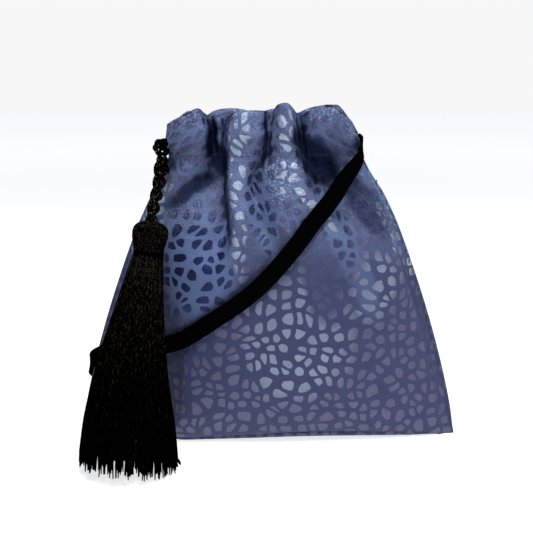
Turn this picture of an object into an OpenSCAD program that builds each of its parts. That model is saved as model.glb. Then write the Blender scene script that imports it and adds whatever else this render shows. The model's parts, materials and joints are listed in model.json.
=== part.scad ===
// Lined drawstring pouch of satin jacquard, closed by a grosgrain ribbon that runs through a
// gathered casing and leaves it as a wrist loop, with a tassel on a twisted cord.
// The pouch stands upright: X runs along its width, -Y is its front, +Z is up, and the
// origin is the middle of its underside.

/* [Pouch] */
// Full width of the pouch at its base
base_w = 196; // [170:1:210]
// Height of the cloth from the underside to the gathered neck
neck_z = 146; // [140:1:150]
// Half depth of the filled belly at its fullest
belly_y = 23; // [18:0.5:24]
// Half depth of the flat underside
foot_y = 12; // [9:0.5:14]
// Thickness of the outer cloth
cloth_t = 0.8; // [0.6:0.1:0.9]
// Thickness of the lining
lining_t = 0.5; // [0.4:0.1:0.6]

/* [Casing] */
// Height of the gathered casing above the neck
casing_h = 25; // [22:0.5:28]
// Half thickness of the gathers, front to back
gather_r = 6; // [5:0.25:6.5]
// Left end of the gathered casings
casing_left = -48.5; // [-50:0.5:-46]
// Right end of the gathered casings
casing_right = 39.5; // [38:0.5:39.5]

/* [Ribbon] */
// Width of the grosgrain ribbon
ribbon_w = 9; // [7:0.5:9.5]
// Thickness of the ribbon in the casing
ribbon_t = 0.6; // [0.4:0.1:0.8]

/* [Tassel] */
// Radius of the twisted cord that carries the tassel
cord_r = 3.2; // [2.5:0.1:3.3]
// Length of the tassel from the crown of its head to its foot
tassel_len = 114.3; // [104:0.1:114.4]
// Radius of the skirt at its foot
skirt_r = 24; // [18:0.5:24]
// Radius of the wrapped head
head_r = 8.5; // [8:0.25:9]

/* [Hidden] */

cloth_colour = [0.32, 0.37, 0.50];
lining_colour = [0.22, 0.24, 0.33];
thread_colour = [0.26, 0.30, 0.43];
ribbon_colour = [0.03, 0.03, 0.035];
yarn_colour = [0.02, 0.02, 0.02];

half_w = base_w / 2;
seam_gap = 0.15;
edge_y = seam_gap + cloth_t;
lining_gap = 0.4;

// Silhouette: [share of the neck height, share of the half width]
side_profile = [
    [0, 1], [0.14, 0.965], [0.35, 0.885], [0.56, 0.785], [0.79, 0.655], [0.93, 0.55], [1, 0.505]
];
// Fullness: [share of the neck height, half depth on the centre line]
depth_profile = [
    [0, foot_y], [0.04, foot_y + 3], [0.14, mix(foot_y, belly_y, 0.65)], [0.35, belly_y],
    [0.56, belly_y - 0.5], [0.79, belly_y - 4], [0.93, 14.5], [1, 12.6]
];
// Rows of the cloth, as shares of the neck height
cloth_rows = [0, 0.02, 0.05, 0.1, 0.18, 0.28, 0.38, 0.48, 0.58, 0.68, 0.77, 0.85, 0.92, 0.97, 1];
cloth_columns = 28;

// The casings hinge at the row of stitches that closes them
hinge_z = neck_z + 0.6;
lip_y = 5 + gather_r;
casing_len = casing_right - casing_left;
casing_wall = 1.2;
crown_h = casing_h - gather_r;
ribbon_h = 9.2;
stitch_pitch = 5;

// The twisted cord hangs from a ring of cord on the ribbon between the casings
bridge_x = -52.3;
bridge_r = 2;
bridge_z = 151;
hanger_y = -5;
hanger_hole_r = 2.35;
hanger_r = 1.6;

// Crown of the tassel's head, and how far its axis leans and turns
head_top = [-56, -25, 117];
tassel_lean = 12;
tassel_heading = 62;
head_len = 13;
binding_len = 5;
knot_r = 5;
knot_s = 7;
neck_r = 7.2;

// Route of the twisted cord: x, y, z
cord_route = [
    [-52.3, -5, 144.5], [-52.5, -6.5, 141.5], [-53, -10.5, 136], [-54, -15.5, 130],
    [-55, -20.5, 124.5], [-55.7, -24, 120], [-56, -25, 117], [-56.3, -25.55, 114.07]
];
// Route of the wrist loop: x, y, z and the compass angle that the ribbon's face looks towards
loop_front = [
    [45.2, -1.5, 153, 0], [46, -5, 152.2, -8], [45.4, -9.5, 149.2, -30], [42.8, -13.2, 144.6, -55],
    [39.1, -15.9, 139.6, -74], [35.4, -17.7, 134.4, -84], [31.7, -19.1, 128.7, -88],
    [26.3, -20.4, 121.6, -89], [20.3, -21.6, 114.4, -90], [15, -22.6, 107, -90],
    [8.7, -23.4, 99.2, -90], [2, -24.1, 91.5, -90], [-5.6, -24.5, 83.8, -90],
    [-15.5, -24.6, 75.8, -92], [-27.5, -23.9, 67.5, -95], [-38.5, -22.3, 59, -100],
    [-48, -20, 53.5, -106], [-58.5, -16.7, 50, -112], [-69.5, -12.6, 47.5, -118],
    [-80, -8.3, 45.8, -126]
];
loop_turn = [[-88.2, -4.2, 45, -145], [-90.6, 0, 44.8, -180], [-88.2, 4.2, 45, -215]];
loop_rings = 76;

function mix(a, b, t) = a + (b - a) * t;
function unit(v) = v / norm(v);

// Slope of a profile at one of its points
function slope(curve, i) =
    let (a = max(i - 1, 0), b = min(i + 1, len(curve) - 1))
    (curve[b][1] - curve[a][1]) / (curve[b][0] - curve[a][0]);
// A smooth profile read at one place
function profile(curve, x, i = 0) =
    i < len(curve) - 2 && x > curve[i + 1][0] ? profile(curve, x, i + 1) :
    let (
        h = curve[i + 1][0] - curve[i][0],
        t = (x - curve[i][0]) / h,
        t2 = t * t,
        t3 = t2 * t
    )
    (2 * t3 - 3 * t2 + 1) * curve[i][1] + (t3 - 2 * t2 + t) * h * slope(curve, i)
    + (3 * t2 - 2 * t3) * curve[i + 1][1] + (t3 - t2) * h * slope(curve, i + 1);

function half_width(f) = half_w * profile(side_profile, f);
// Half depth of the cloth, at share u of the half width and share f of the neck height
function half_depth(u, f) =
    max(profile(depth_profile, f) * pow(max(1 - pow(abs(u), 2 + 2 * f * f), 0), 0.8), edge_y);

// A grid of one side of the front cloth: inset from the outer face, and lifted off the floor
function cloth_grid(u_max, inset) = [
    for (j = [-1:len(cloth_rows) - 1]) [
        for (i = [0:cloth_columns])
            let (
                u = u_max * sin(mix(-90, 90, i / cloth_columns)),
                f = cloth_rows[max(j, 0)],
                y = j < 0 ? seam_gap : max(half_depth(u, f) - inset, seam_gap)
            )
            [u * half_width(f), -y, max(f * neck_z, inset)]
    ]
];

// A closed sheet between an outer and an inner grid
module sheet_between(outer, inner) {
    rows = len(outer);
    cols = len(outer[0]);
    skin = rows * cols;
    points = concat([for (row = outer) each row], [for (row = inner) each row]);
    rim = concat(
        [for (i = [0:cols - 2]) i],
        [for (j = [0:rows - 2]) j * cols + cols - 1],
        [for (i = [cols - 1:-1:1]) (rows - 1) * cols + i],
        [for (j = [rows - 1:-1:1]) j * cols]
    );
    faces = concat(
        [for (j = [0:rows - 2]) for (i = [0:cols - 2]) let (a = j * cols + i)
            each [[a, a + cols + 1, a + 1], [a, a + cols, a + cols + 1]]],
        [for (j = [0:rows - 2]) for (i = [0:cols - 2]) let (a = skin + j * cols + i)
            each [[a, a + 1, a + cols + 1], [a, a + cols + 1, a + cols]]],
        [for (k = [0:len(rim) - 1]) let (a = rim[k], b = rim[(k + 1) % len(rim)])
            each [[a, b, skin + b], [a, skin + b, skin + a]]]
    );
    polyhedron(points = points, faces = faces, convexity = 8);
}

module front_cloth(u_max, inset, thickness)
    sheet_between(cloth_grid(u_max, inset), cloth_grid(u_max, inset + thickness));

module front_panel() color(cloth_colour) front_cloth(1, 0, cloth_t);
module back_panel() color(cloth_colour) mirror([0, 1, 0]) front_cloth(1, 0, cloth_t);
module front_lining() color(lining_colour) front_cloth(0.9, cloth_t + lining_gap, lining_t);
module back_lining() color(lining_colour)
    mirror([0, 1, 0]) front_cloth(0.9, cloth_t + lining_gap, lining_t);

// The turned-in edges of both panels, inside one side seam
module side_allowance() {
    inner = [for (f = cloth_rows) if (f > 0.01 && f < 0.98) [0.915 * half_width(f), f * neck_z]];
    outer = [for (f = cloth_rows) if (f > 0.01 && f < 0.98) [0.95 * half_width(f), f * neck_z]];
    rotate([90, 0, 0]) linear_extrude(height = 0.7, center = true)
        polygon(concat(inner, [for (i = [len(outer) - 1:-1:0]) outer[i]]));
}
module right_seam_allowance() color(cloth_colour) side_allowance();
module left_seam_allowance() color(cloth_colour) mirror([1, 0, 0]) side_allowance();
module bottom_seam_allowance() color(cloth_colour)
    translate([-75, -5, cloth_t + 0.05]) cube([150, 10, 0.3]);

// Threads through both panels just inside their edges
module side_seam_stitches() color(thread_colour)
    for (side = [-1, 1]) for (z = [8:stitch_pitch:neck_z - 12])
        translate([side * (0.992 * half_width(z / neck_z) - 0.5), 0, z])
            cube([0.4, 2 * edge_y - 0.1, 2.6], center = true);
module bottom_seam_stitches() color(thread_colour)
    for (x = [-70:stitch_pitch:70])
        translate([x, 0, cloth_t / 2]) cube([2.6, 1.4, 0.3], center = true);

// Dense bars of thread that stop the side seams tearing below the ribbon's openings
module bartack() translate([51.1, 0, neck_z - 4.4]) rotate([0, -25, 0])
    cube([1.6, 2.6, 6], center = true);
module right_bartack() color(thread_colour) bartack();
module left_bartack() color(thread_colour) mirror([1, 0, 0]) bartack();

// Section of a casing across its length: round at the crown, pinched at the stitches
module casing_section(shrink, foot_h, foot_r) {
    translate([0, crown_h]) circle(r = gather_r - shrink, $fn = 48);
    polygon([
        [-foot_r, foot_h], [foot_r, foot_h],
        [gather_r - shrink, crown_h], [-(gather_r - shrink), crown_h]
    ]);
}
module casing() translate([casing_left, -lip_y, hinge_z]) rotate([90, 0, 90])
    linear_extrude(height = casing_len) difference() {
        casing_section(0, 0.4, 0.9);
        casing_section(casing_wall, 3, 0.6);
    }
module front_casing() color(cloth_colour) casing();
module back_casing() color(cloth_colour) mirror([0, 1, 0]) casing();

// Running stitches through the pinched foot of a casing
module casing_stitches() for (x = [casing_left + 3:stitch_pitch:casing_right - 3])
    translate([x, -lip_y, hinge_z + 1.7]) cube([2.8, 3.1, 0.5], center = true);
module front_casing_stitches() color(thread_colour) casing_stitches();
module back_casing_stitches() color(thread_colour) mirror([0, 1, 0]) casing_stitches();

// The ribbon where it runs through a casing
module ribbon_run() translate([casing_left, -lip_y - ribbon_t / 2, hinge_z + ribbon_h - ribbon_w / 2])
    cube([casing_len, ribbon_t, ribbon_w]);
module front_ribbon_run() color(ribbon_colour) ribbon_run();
module back_ribbon_run() color(ribbon_colour) mirror([0, 1, 0]) ribbon_run();
// The sewn lap that joins the ribbon's two ends, hidden in the back casing
module ribbon_lap() color(ribbon_colour)
    translate([-8, lip_y + ribbon_t / 2, hinge_z + ribbon_h - ribbon_w / 2 + 0.2])
        cube([14, ribbon_t, ribbon_w - 0.4]);

// The ribbon drawn into a roll where it passes from one casing to the other
module ribbon_bridge() color(ribbon_colour) {
    bend = casing_left - 0.4 - bridge_x;
    translate([bridge_x, -lip_y + bend, bridge_z]) rotate([-90, 0, 0])
        cylinder(r = bridge_r, h = 2 * (lip_y - bend), $fn = 32);
    for (side = [0, 1]) mirror([0, side, 0])
        translate([bridge_x + bend, -lip_y + bend, bridge_z])
            rotate([0, 0, 180]) rotate_extrude(angle = 90, $fn = 48)
                translate([bend, 0]) circle(r = bridge_r, $fn = 32);
}

// Points along a route, smoothed through every point of it
function route_point(route, s) =
    let (
        n = len(route) - 1,
        i = min(floor(s * n), n - 1),
        t = s * n - i,
        a = route[max(i - 1, 0)],
        b = route[i],
        c = route[i + 1],
        d = route[min(i + 2, n)]
    )
    0.5 * (2 * b + (c - a) * t + (2 * a - 5 * b + 4 * c - d) * t * t
        + (3 * b - a - 3 * c + d) * t * t * t);
function place(p) = [p[0], p[1], p[2]];

// A closed tube through rings of points
module tube_through(rings) {
    sides = len(rings[0]);
    count = len(rings);
    polyhedron(
        points = [for (ring = rings) each ring],
        faces = concat(
            [[for (k = [0:sides - 1]) k]],
            [[for (k = [sides - 1:-1:0]) (count - 1) * sides + k]],
            [for (r = [0:count - 2]) for (k = [0:sides - 1])
                let (a = r * sides + k, b = r * sides + (k + 1) % sides)
                each [[a, a + sides, b + sides], [a, b + sides, b]]]
        ),
        convexity = 10
    );
}
// The loop's own section, as [across its width, through its thickness]
loop_section = [
    for (corner = [[1, -0.3], [1, 0.3], [0.93, 0.5], [-0.93, 0.5],
                   [-1, 0.3], [-1, -0.3], [-0.93, -0.5], [0.93, -0.5]])
        [corner[0] * ribbon_w / 2, corner[1]]
];
loop_route = concat(
    loop_front, loop_turn,
    [for (i = [len(loop_front) - 1:-1:0])
        let (p = loop_front[i]) [p[0], -p[1], p[2], -360 - p[3]]]
);
function loop_ring(s) =
    let (
        p = route_point(loop_route, s),
        along = unit(place(route_point(loop_route, min(s + 0.002, 1)))
            - place(route_point(loop_route, max(s - 0.002, 0)))),
        facing = [cos(p[3]), sin(p[3]), 0],
        across = unit(cross(facing, along)),
        out = cross(along, across)
    )
    [for (c = loop_section) place(p) + c[0] * across + c[1] * out];
module ribbon_loop() color(ribbon_colour)
    tube_through([for (i = [0:loop_rings]) loop_ring(i / loop_rings)]);

// The ring of cord that is knotted round the ribbon
module cord_hanger() color(yarn_colour)
    translate([bridge_x, hanger_y, bridge_z]) rotate([90, 0, 0])
        rotate_extrude($fn = 48) translate([hanger_hole_r + hanger_r, 0]) circle(r = hanger_r, $fn = 32);

function cord_ring(s) =
    let (
        p = route_point(cord_route, s),
        along = unit(route_point(cord_route, min(s + 0.01, 1))
            - route_point(cord_route, max(s - 0.01, 0))),
        across = unit(cross([0, 1, 0], along)),
        out = cross(along, across)
    )
    [for (k = [0:7]) p + cord_r * (cos(45 * k) * across + sin(45 * k) * out)];
module tassel_cord() color(yarn_colour) tube_through([for (i = [0:14]) cord_ring(i / 14)]);

// Everything below hangs along the tassel's own axis, from the crown of its head down
module along_tassel() translate(head_top) rotate([0, tassel_lean, tassel_heading])
    mirror([0, 0, 1]) children();
// The knot on the end of the cord, caught inside the head
module cord_knot() color(yarn_colour) along_tassel() difference() {
    translate([0, 0, knot_s]) sphere(r = knot_r, $fn = 48);
    cylinder(r = cord_r + 0.25, h = 3.05, $fn = 32);
}
module tassel_head() color(yarn_colour) along_tassel() difference() {
    union() {
        translate([0, 0, head_r]) sphere(r = head_r, $fn = 64);
        translate([0, 0, head_r]) cylinder(r = head_r, h = head_len - head_r, $fn = 64);
    }
    translate([0, 0, knot_s]) sphere(r = knot_r + 0.4, $fn = 48);
    translate([0, 0, -1]) cylinder(r = cord_r + 0.35, h = 5, $fn = 48);
    translate([0, 0, head_len]) cylinder(r = head_r + 1, h = 10, $fn = 48);
}
module neck_binding() color(yarn_colour) along_tassel() rotate_extrude($fn = 64)
    polygon([
        [0, head_len], [neck_r, head_len], [head_r - 0.3, head_len + 1.2],
        [head_r - 0.3, head_len + binding_len - 1.2], [neck_r, head_len + binding_len],
        [0, head_len + binding_len]
    ]);
module tassel_skirt() color(yarn_colour) along_tassel() rotate_extrude($fn = 64)
    polygon([
        [0, head_len + binding_len], [neck_r, head_len + binding_len],
        [0.39 * skirt_r, 0.3 * tassel_len], [0.51 * skirt_r, 0.47 * tassel_len],
        [0.66 * skirt_r, 0.66 * tassel_len], [0.84 * skirt_r, 0.84 * tassel_len],
        [skirt_r, tassel_len], [0, tassel_len]
    ]);

front_panel();
back_panel();
front_lining();
back_lining();
left_seam_allowance();
right_seam_allowance();
bottom_seam_allowance();
side_seam_stitches();
bottom_seam_stitches();
left_bartack();
right_bartack();
front_casing();
back_casing();
front_casing_stitches();
back_casing_stitches();
front_ribbon_run();
back_ribbon_run();
ribbon_lap();
ribbon_bridge();
ribbon_loop();
cord_hanger();
tassel_cord();
cord_knot();
tassel_head();
neck_binding();
tassel_skirt();
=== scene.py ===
"""Drawstring gift pouch: satin jacquard cloth, grosgrain ribbon, twisted cord and tassel."""
import functools
import json
import math

import bpy
import numpy as np
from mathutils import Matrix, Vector


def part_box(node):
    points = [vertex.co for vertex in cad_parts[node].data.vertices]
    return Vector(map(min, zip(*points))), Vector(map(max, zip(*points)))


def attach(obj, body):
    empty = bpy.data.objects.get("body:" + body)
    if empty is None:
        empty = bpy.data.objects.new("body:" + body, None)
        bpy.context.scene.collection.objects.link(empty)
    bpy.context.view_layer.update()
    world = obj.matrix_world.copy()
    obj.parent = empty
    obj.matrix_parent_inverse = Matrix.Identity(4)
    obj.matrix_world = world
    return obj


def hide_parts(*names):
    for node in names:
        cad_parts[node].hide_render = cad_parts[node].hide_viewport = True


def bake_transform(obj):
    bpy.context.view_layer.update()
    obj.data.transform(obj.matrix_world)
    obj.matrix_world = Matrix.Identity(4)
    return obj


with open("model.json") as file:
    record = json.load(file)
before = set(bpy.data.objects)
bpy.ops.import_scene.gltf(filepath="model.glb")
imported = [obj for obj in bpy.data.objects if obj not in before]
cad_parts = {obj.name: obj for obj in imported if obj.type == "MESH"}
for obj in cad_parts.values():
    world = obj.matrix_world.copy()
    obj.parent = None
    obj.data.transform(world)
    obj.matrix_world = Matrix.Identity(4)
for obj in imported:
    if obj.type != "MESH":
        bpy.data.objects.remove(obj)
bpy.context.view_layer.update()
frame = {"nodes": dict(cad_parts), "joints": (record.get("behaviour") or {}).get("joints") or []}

MM = 0.001


# ---------------------------------------------------------------- helpers

def unit(v):
    v = np.asarray(v, float)
    return v / np.maximum(np.linalg.norm(v, axis=-1, keepdims=True), 1e-12)


def smoothstep(x, low, high):
    t = np.clip((np.asarray(x, float) - low) / (high - low), 0, 1)
    return t * t * (3 - 2 * t)


def through(xs, ys, x):
    """A smooth curve through given points (a Catmull-Rom spline in x)."""
    xs, ys, x = np.asarray(xs, float), np.asarray(ys, float), np.asarray(x, float)
    slopes = np.empty(len(xs))
    slopes[1:-1] = (ys[2:] - ys[:-2]) / (xs[2:] - xs[:-2])
    slopes[0] = (ys[1] - ys[0]) / (xs[1] - xs[0])
    slopes[-1] = (ys[-1] - ys[-2]) / (xs[-1] - xs[-2])
    i = np.clip(np.searchsorted(xs, x) - 1, 0, len(xs) - 2)
    h = xs[i + 1] - xs[i]
    t = np.clip((x - xs[i]) / h, 0, 1)
    return ((2 * t**3 - 3 * t**2 + 1) * ys[i] + (t**3 - 2 * t**2 + t) * h * slopes[i]
            + (3 * t**2 - 2 * t**3) * ys[i + 1] + (t**3 - t**2) * h * slopes[i + 1])


def follow(table, x):
    """The smooth curve through a table of x and value, read at x."""
    return through(table[:, 0], table[:, 1], x)


def route_points(route, count):
    """Points along a given route, smoothed through every point of it, evenly spaced."""
    route = np.asarray(route, float)
    n = len(route) - 1
    s = np.linspace(0, n, 60 * n + 1)
    i = np.minimum(s.astype(int), n - 1)
    t = (s - i)[:, None]
    a, b = route[np.maximum(i - 1, 0)], route[i]
    c, d = route[i + 1], route[np.minimum(i + 2, n)]
    dense = 0.5 * (2 * b + (c - a) * t + (2 * a - 5 * b + 4 * c - d) * t**2
                   + (3 * b - a - 3 * c + d) * t**3)
    run = run_along(dense)
    at = np.linspace(0, run[-1], count)
    return np.stack([np.interp(at, run, dense[:, k]) for k in range(dense.shape[1])], 1)


def length_of(points):
    return float(np.linalg.norm(np.diff(np.asarray(points)[:, :3], axis=0), axis=1).sum())


def tangents(points):
    return unit(np.gradient(np.asarray(points)[:, :3], axis=0))


def run_along(points):
    """Distance along a path, at each of its points."""
    steps = np.linalg.norm(np.diff(np.asarray(points)[:, :3], axis=0), axis=1)
    return np.concatenate([[0], np.cumsum(steps)])


def grid_faces(rows, cols, closed=False):
    """Quads of a grid of rows x cols points, closed round its columns if asked."""
    last = cols if closed else cols - 1
    r, c = np.meshgrid(np.arange(rows - 1), np.arange(last), indexing="ij")
    n = (c + 1) % cols
    quads = np.stack([r * cols + c, r * cols + n, (r + 1) * cols + n, (r + 1) * cols + c], -1)
    return quads.reshape(-1, 4)


def tube_faces(rows, cols):
    """Faces of a closed tube of rows x cols points, with a cap at each end."""
    faces = grid_faces(rows, cols, closed=True).tolist()
    return faces + [list(range(cols))[::-1], list(range((rows - 1) * cols, rows * cols))]


def make_mesh(name, points, faces, uv=None, smooth=True):
    """A mesh object from points and faces; uv holds one pair for each point."""
    mesh = bpy.data.meshes.new(name)
    mesh.from_pydata(np.asarray(points, float).tolist(), [], [list(map(int, f)) for f in faces])
    mesh.validate()
    if uv is not None:
        layer = mesh.uv_layers.new(name="cloth")
        loops = np.empty(len(mesh.loops), int)
        mesh.loops.foreach_get("vertex_index", loops)
        layer.data.foreach_set("uv", np.asarray(uv, np.float32)[loops].ravel())
    if smooth:
        mesh.polygons.foreach_set("use_smooth", [True] * len(mesh.polygons))
    mesh.update()
    obj = bpy.data.objects.new(name, mesh)
    bpy.context.scene.collection.objects.link(obj)
    return obj


def thicken(piece, thickness):
    """Turns an open sheet into cloth of a thickness in millimetres, half of it on each side."""
    solid = piece.modifiers.new("thickness", "SOLIDIFY")
    solid.thickness = thickness * MM
    solid.offset = 0


# ---------------------------------------------------------------- camera

STAND_OFF = 0.500
LOOK_AT = Vector((-0.0008, 0, 0.090))
ELEVATION = math.radians(12)
PIXELS_PER_UNIT_ANGLE = 980
FRAME_PIXELS = 533

camera_data = bpy.data.cameras.new("camera")
camera = bpy.data.objects.new("camera", camera_data)
bpy.context.scene.collection.objects.link(camera)
back = Vector((0, -math.cos(ELEVATION), math.sin(ELEVATION)))
camera.location = LOOK_AT + back * STAND_OFF
camera.rotation_mode = "QUATERNION"
camera.rotation_quaternion = (-back).to_track_quat("-Z", "Y")
camera_data.sensor_width = 36
camera_data.lens = 36 * PIXELS_PER_UNIT_ANGLE / FRAME_PIXELS
camera_data.clip_start = 0.01
camera_data.clip_end = 20
bpy.context.scene.camera = camera

# ---------------------------------------------------------------- wrist loop

# x, y, z in millimetres and the compass angle that the ribbon's face looks towards
LOOP_FRONT = [
    [45.2, -1.5, 153, 0], [46.3, -5.1, 152.2, -6], [45.8, -9.8, 149.2, -20],
    [43.2, -13.5, 144.6, -40], [39.1, -15.9, 139.6, -60], [35.4, -17.7, 134.4, -74],
    [31.7, -19.1, 128.7, -84],
    [26.3, -20.4, 121.6, -89], [20.3, -21.6, 114.4, -90], [15, -22.6, 107, -90],
    [8.7, -23.4, 99.2, -90], [2, -24.1, 91.5, -90], [-5.6, -24.5, 83.8, -90],
    [-15.5, -24.6, 75.8, -92], [-27.5, -23.9, 67.5, -95], [-38.5, -22.2, 59.8, -100],
    [-48, -19.8, 55, -106], [-58.5, -16.5, 52.2, -112], [-69.5, -12.5, 50.6, -118],
    [-80, -8.3, 47.8, -126],
]
LOOP_TURN = [[-89, -4.2, 43, -145], [-92.6, 0, 38, -180], [-89, 4.2, 33.4, -215]]
LOOP_PIVOT = (45.2, 153)       # x and z of the axis that the loop lifts about
# the ribbon slants down as it passes round the side, so its way back starts lower
LOOP_DROP = {-80: 15.8, -69.5: 14.5, -58.5: 11, -48: 7.7, -38.5: 4.6, -27.5: 1.6}
LOOP_BACK = [[x, -y, z - LOOP_DROP.get(x, 0), -360 - a] for x, y, z, a in LOOP_FRONT[::-1]]
LOOP_ROUTE = LOOP_FRONT + LOOP_TURN + LOOP_BACK
RIBBON_WIDTH = 9 * MM
RIBBON_THICK = 0.55 * MM
RIB_PITCH = 1.0 * MM
SCALLOP = 0.32 * MM            # how far the ribbon's edge dips between its ribs
# where the points of the ribbon's section lie across it, from edge to edge
SECTION = np.array([-1, -0.97, -0.85, -0.55, -0.2, 0.2, 0.55, 0.85, 0.97, 1.0])


def ribbon_mesh(name, route, width, thick, cup=0.25 * MM):
    """A flat ribbon along a route whose fourth value is the compass angle its face looks towards.
    Its ribs run across it, and its edges are scalloped by them."""
    length = length_of(route) * MM
    count = int(length / (RIB_PITCH / 4)) + 1
    points = route_points(route, count)
    centre = points[:, :3] * MM
    along = tangents(centre)
    facing = np.stack([np.cos(np.radians(points[:, 3])), np.sin(np.radians(points[:, 3])),
                       np.zeros(count)], 1)
    across = unit(np.cross(facing, along))
    out = np.cross(along, across)
    run = np.linspace(0, length, count)
    rib = 0.5 + 0.5 * np.cos(2 * np.pi * run / RIB_PITCH)
    half_thick = thick / 2 * (0.62 + 0.38 * rib)
    half_width = width / 2 - SCALLOP * (1 - rib)
    rings = []
    for side, order in ((1, SECTION), (-1, SECTION[::-1])):
        for c in order:
            lift = cup * c * c
            edge = 0.25 if abs(c) == 1 else 1.0
            rings.append(centre + across * (c * half_width)[:, None]
                         + out * (lift + side * edge * half_thick)[:, None])
    ring = np.stack(rings, 1)
    cols = ring.shape[1]
    uv = np.stack([np.repeat(run, cols), np.tile(np.linspace(0, 2 * width, cols), count)], 1)
    return make_mesh(name, ring.reshape(-1, 3), tube_faces(count, cols), uv), centre


wrist_loop, loop_path = ribbon_mesh("wrist_loop_ribbon", LOOP_ROUTE, RIBBON_WIDTH, RIBBON_THICK)
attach(wrist_loop, "wrist_loop")
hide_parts("ribbon_loop")

# ---------------------------------------------------------------- twisted cord

CORD_ROUTE = [
    [-52.3, -5, 146.4], [-52.3, -5.2, 144.2], [-52.5, -6.5, 141.5], [-53, -10.5, 136],
    [-54, -15.5, 130], [-55, -20.5, 124.5], [-55.7, -24, 120], [-56, -25, 117],
    [-56.3, -25.55, 114.07],
]
CORD_RADIUS = 3.2 * MM
CORD_TURN = 15 * MM
PLY_YARNS = 9


def carried_frames(centre):
    """Two directions square to a path at each of its points, carried along without twist."""
    along = tangents(centre)
    side = np.empty_like(along)
    seed = np.cross(along[0], [0.3, 1, 0.1])
    side[0] = seed / np.linalg.norm(seed)
    for i in range(1, len(along)):
        v = side[i - 1] - along[i] * np.dot(side[i - 1], along[i])
        side[i] = v / np.linalg.norm(v)
    return side, np.cross(along, side)


def tube(centre, radii, sides=8, ripple=None):
    """Points and faces of a closed tube; ripple(angle, i) scales its radius."""
    centre = np.asarray(centre, float)
    u, v = carried_frames(centre)
    angle = np.linspace(0, 2 * np.pi, sides, endpoint=False)
    radii = np.broadcast_to(np.asarray(radii, float), (len(centre),))[:, None]
    if ripple is not None:
        radii = radii * ripple(angle[None, :], np.arange(len(centre))[:, None])
    points = (centre[:, None, :] + (radii * np.cos(angle))[:, :, None] * u[:, None, :]
              + (radii * np.sin(angle))[:, :, None] * v[:, None, :]).reshape(-1, 3)
    return points, tube_faces(len(centre), sides)


def join_parts(parts):
    """One list of points and faces from several."""
    points, faces, start = [], [], 0
    for p, f in parts:
        points.append(p)
        faces += [[i + start for i in face] for face in f]
        start += len(p)
    return np.concatenate(points), faces


def twisted(centre, radius, turn, tapered=True, sides=36):
    """Two plies twisted round a path, each with the slant of its own yarns."""
    run = run_along(centre)
    u, v = carried_frames(centre)
    parts = []
    for ply in (0, 1):
        phase = 2 * np.pi * run / turn + ply * np.pi
        off = np.cos(phase)[:, None] * u + np.sin(phase)[:, None] * v
        ply_centre = centre + 0.47 * (radius * np.ones(len(centre)))[:, None] * off
        size = radius * 0.54 * np.ones(len(centre))
        if tapered:
            size *= np.clip(np.minimum(run, run[-1] - run) / (0.6 * size.min()), 0.25, 1) ** 0.5
        slant = -2 * np.pi * run / (0.45 * turn)

        def ripple(angle, i):
            return 1 - 0.13 * np.abs(np.sin(PLY_YARNS * (angle + slant[i]) / 2)) ** 3
        parts.append(tube(ply_centre, size, sides, ripple))
    return join_parts(parts)


cord_path = route_points(CORD_ROUTE, 260) * MM
doubled = smoothstep(cord_path[:, 2], 0.131, 0.141)       # the plies are doubled back at the top
points, faces = twisted(cord_path, CORD_RADIUS * (1 + 0.2 * doubled), CORD_TURN)
twisted_cord = make_mesh("twisted_cord", points, faces)
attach(twisted_cord, "cord")
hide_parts("tassel_cord")

# the ring of the same cord, knotted round the bunched ribbon
hanger_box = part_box("cord_hanger")
hanger_centre = (np.array(hanger_box[0]) + np.array(hanger_box[1])) / 2
RING_CORD_RADIUS = 1.5 * MM
RING_RADIUS = 3.2 * MM
around = np.linspace(0, 2 * np.pi, 161)
ring_path = hanger_centre + RING_RADIUS * np.stack([np.cos(around), 0.06 * np.sin(2 * around),
                                                    np.sin(around)], 1)
points, faces = twisted(ring_path, RING_CORD_RADIUS, 2 * np.pi * RING_RADIUS / 3, tapered=False,
                        sides=24)
hanger = make_mesh("cord_ring", points, faces)
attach(hanger, "cord_top")
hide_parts("cord_hanger")

# ---------------------------------------------------------------- pouch cloth

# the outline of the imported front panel, level by level
panel = np.array([v.co for v in frame["nodes"]["front_panel"].data.vertices], float) / MM
levels = np.unique(panel[:, 2].round(1))
at_level = [panel[np.abs(panel[:, 2] - z) < 0.2] for z in levels]
level_width = np.array([p[:, 0].max() for p in at_level])
level_depth = np.array([-p[:, 1].min() for p in at_level])
NECK_Z = levels[-1]
STITCH_Z = NECK_Z + 0.6
EDGE_DEPTH = 0.24              # half the gap between the two panels where a side seam joins them
LOWEST = 0.26                  # the cloth's middle stands this high off the floor
CLOTH_THICK, LINING_THICK = 0.42, 0.3
LINING_SHARE = 0.962           # the lining's width as a share of the cloth's
STITCHED_SHARE = 0.89          # the stitch rows stop short of the wrist ribbon
LINING_INSET = 1.3             # how far the lining lies inside the cloth
# the cloth stays this far behind the wrist ribbon's middle, at each of these lifts of the loop,
# and may come forward again by this slope beyond the ribbon's edge
RIBBON_GAP, GAP_SLOPE, GAP_SOFTNESS = 1.1, 1.2, 2.5
LOOP_LIFTS = np.radians([0, 3.3, 6.7, 10])


def half_width(z, side):
    """The cloth's half width at a height; its right shoulder is drawn in further than its left."""
    drawn_in = 2.4 * smoothstep(z, 126, NECK_Z) if side > 0 else 0
    return through(levels, level_width, z) - drawn_in


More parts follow.
